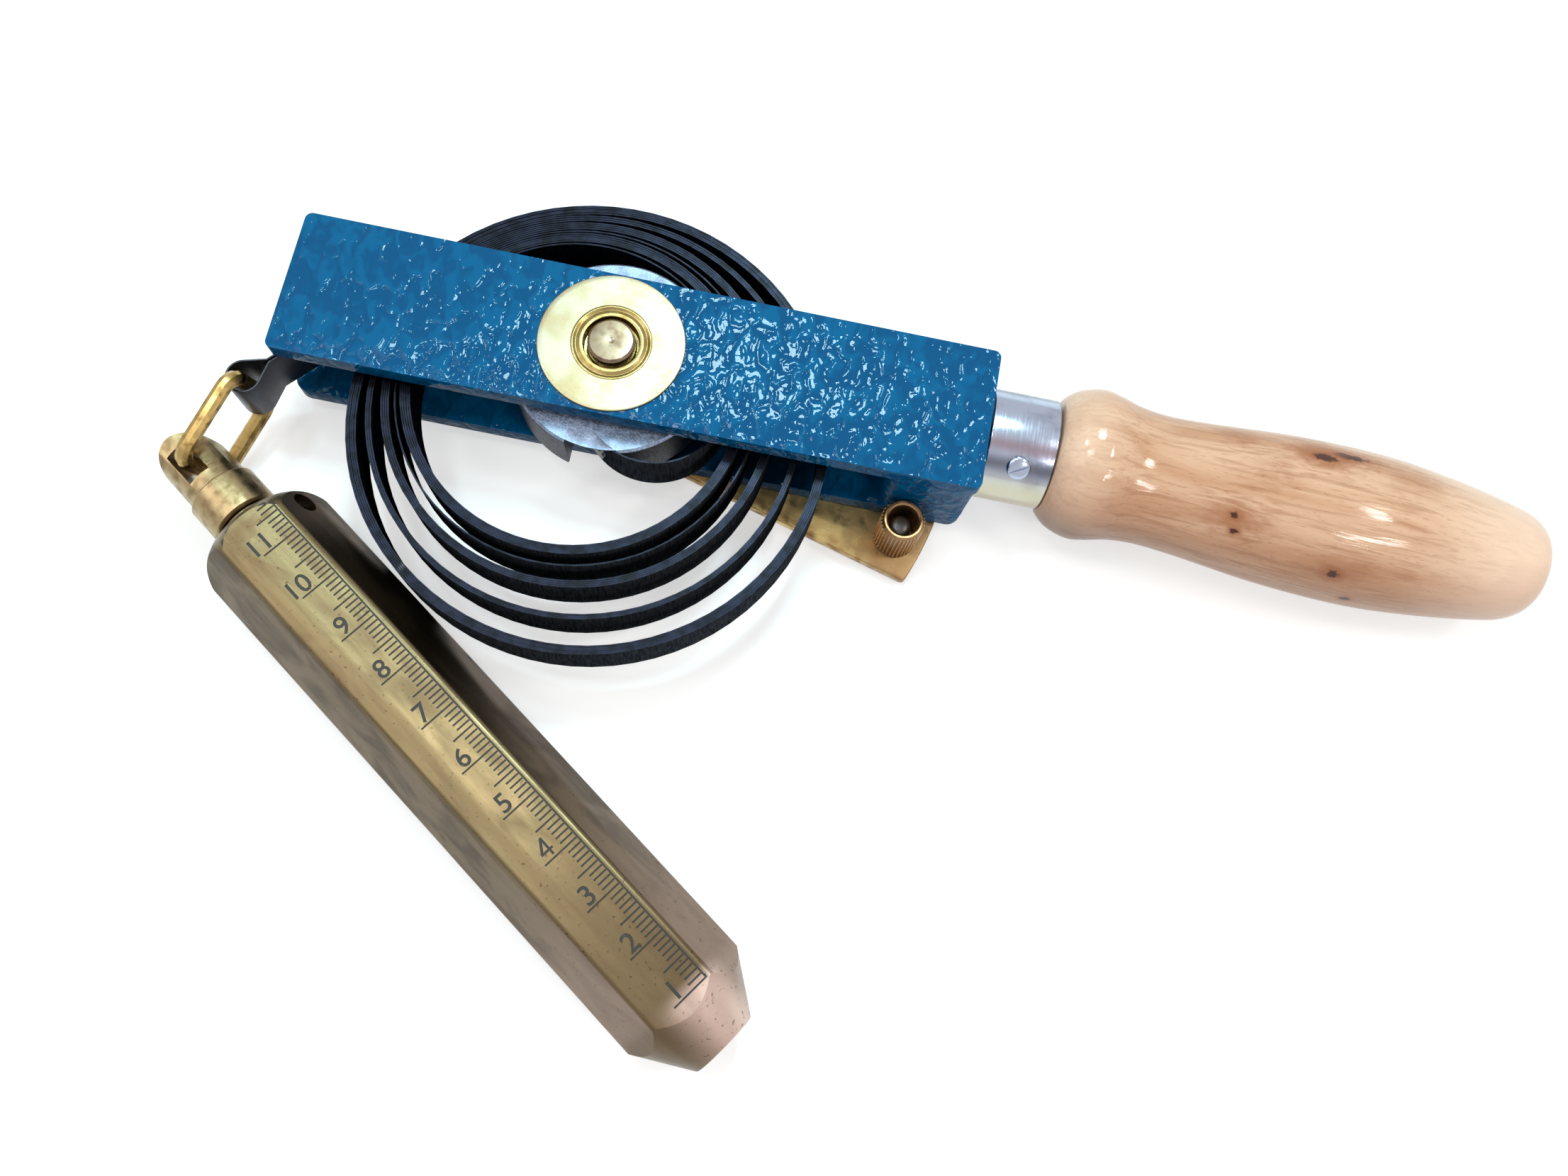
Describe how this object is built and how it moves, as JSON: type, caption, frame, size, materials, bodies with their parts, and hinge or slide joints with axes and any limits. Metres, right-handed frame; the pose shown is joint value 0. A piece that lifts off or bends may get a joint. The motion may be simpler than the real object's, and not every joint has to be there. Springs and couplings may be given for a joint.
{
  "type": "tank gauging tape",
  "caption": "Steel measuring tape on a cranked reel in a fork frame with a wooden handle, ending in a hexagonal brass plumb bob on a swivel.",
  "frame": {"origin": "on the reel's axis, at the flat outer face of the crank screw that the tool lies on", "axes": "+X along the fork to the handle, +Z along the reel's axis and up from the rest face, away from the crank"},
  "size_m": [0.2465, 0.1459, 0.0286],
  "materials": {
    "blue_paint": "hammered gloss paint",
    "pale_brass": "thin plated disc",
    "turned_brass": "turned",
    "wire_brass": "drawn wire",
    "sheet_brass": "brushed sheet",
    "bob_brass": "machined bar, lightly tarnished",
    "turned_steel": "turned",
    "dark_steel": "blackened",
    "tape_steel": "blued spring steel",
    "grey_casting": "granular casting",
    "plated_ferrule": "plated",
    "varnished_wood": "varnished"
  },
  "bodies": {
    "root": {"fork_frame": "blue_paint", "brass_disc": "pale_brass", "front_bush": "turned_brass", "rear_bush": "turned_brass", "tape_coil": "tape_steel", "tape_end_eye": "tape_steel", "eye_rivets": "dark_steel", "ferrule": "plated_ferrule", "ferrule_screw": "plated_ferrule", "handle_tang": "turned_steel", "wood_handle": "varnished_wood"},
    "reel": {"reel_shaft": "turned_steel", "drum": "grey_casting", "drum_grub_screw": "dark_steel", "front_washer": "turned_brass", "rear_washer": "turned_brass", "tape_anchor_screw": "dark_steel", "crank_plate": "sheet_brass", "crank_screw": "turned_steel", "knob_pin": "turned_steel"},
    "knob": {"crank_knob": "turned_brass"},
    "link": {"wire_link": "wire_brass"},
    "swivel": {"swivel_head": "turned_brass"},
    "bob": {"plumb_bob": "bob_brass", "bob_set_screw": "dark_steel"}
  },
  "joints": [
    {"name": "reel_turn", "type": "hinge", "parent": "root", "child": "reel", "pos_m": [0, 0, 0], "axis": [0, 0, 1], "range_deg": [-68, 0], "deforming": ["tape_coil"]},
    {"name": "knob_spin", "type": "hinge", "parent": "reel", "child": "knob", "pos_m": [0.05672, -0.01765, 0.00365], "axis": [0, 0, 1], "continuous": true},
    {"name": "link_swing", "type": "hinge", "parent": "root", "child": "link", "pos_m": [-0.06224, -0.01702, 0.01346], "axis": [-0.1006, -0.1415, 0.9848], "range_deg": [-100, 0]},
    {"name": "swivel_swing", "type": "hinge", "parent": "link", "child": "swivel", "pos_m": [-0.0676, -0.0328, 0.01065], "axis": [-0.1006, -0.1415, 0.9848], "range_deg": [-140, 0]},
    {"name": "bob_spin", "type": "hinge", "parent": "swivel", "child": "bob", "pos_m": [-0.0676, -0.0328, 0.01065], "axis": [0.8151, -0.5793, 0], "continuous": true}
  ]
}
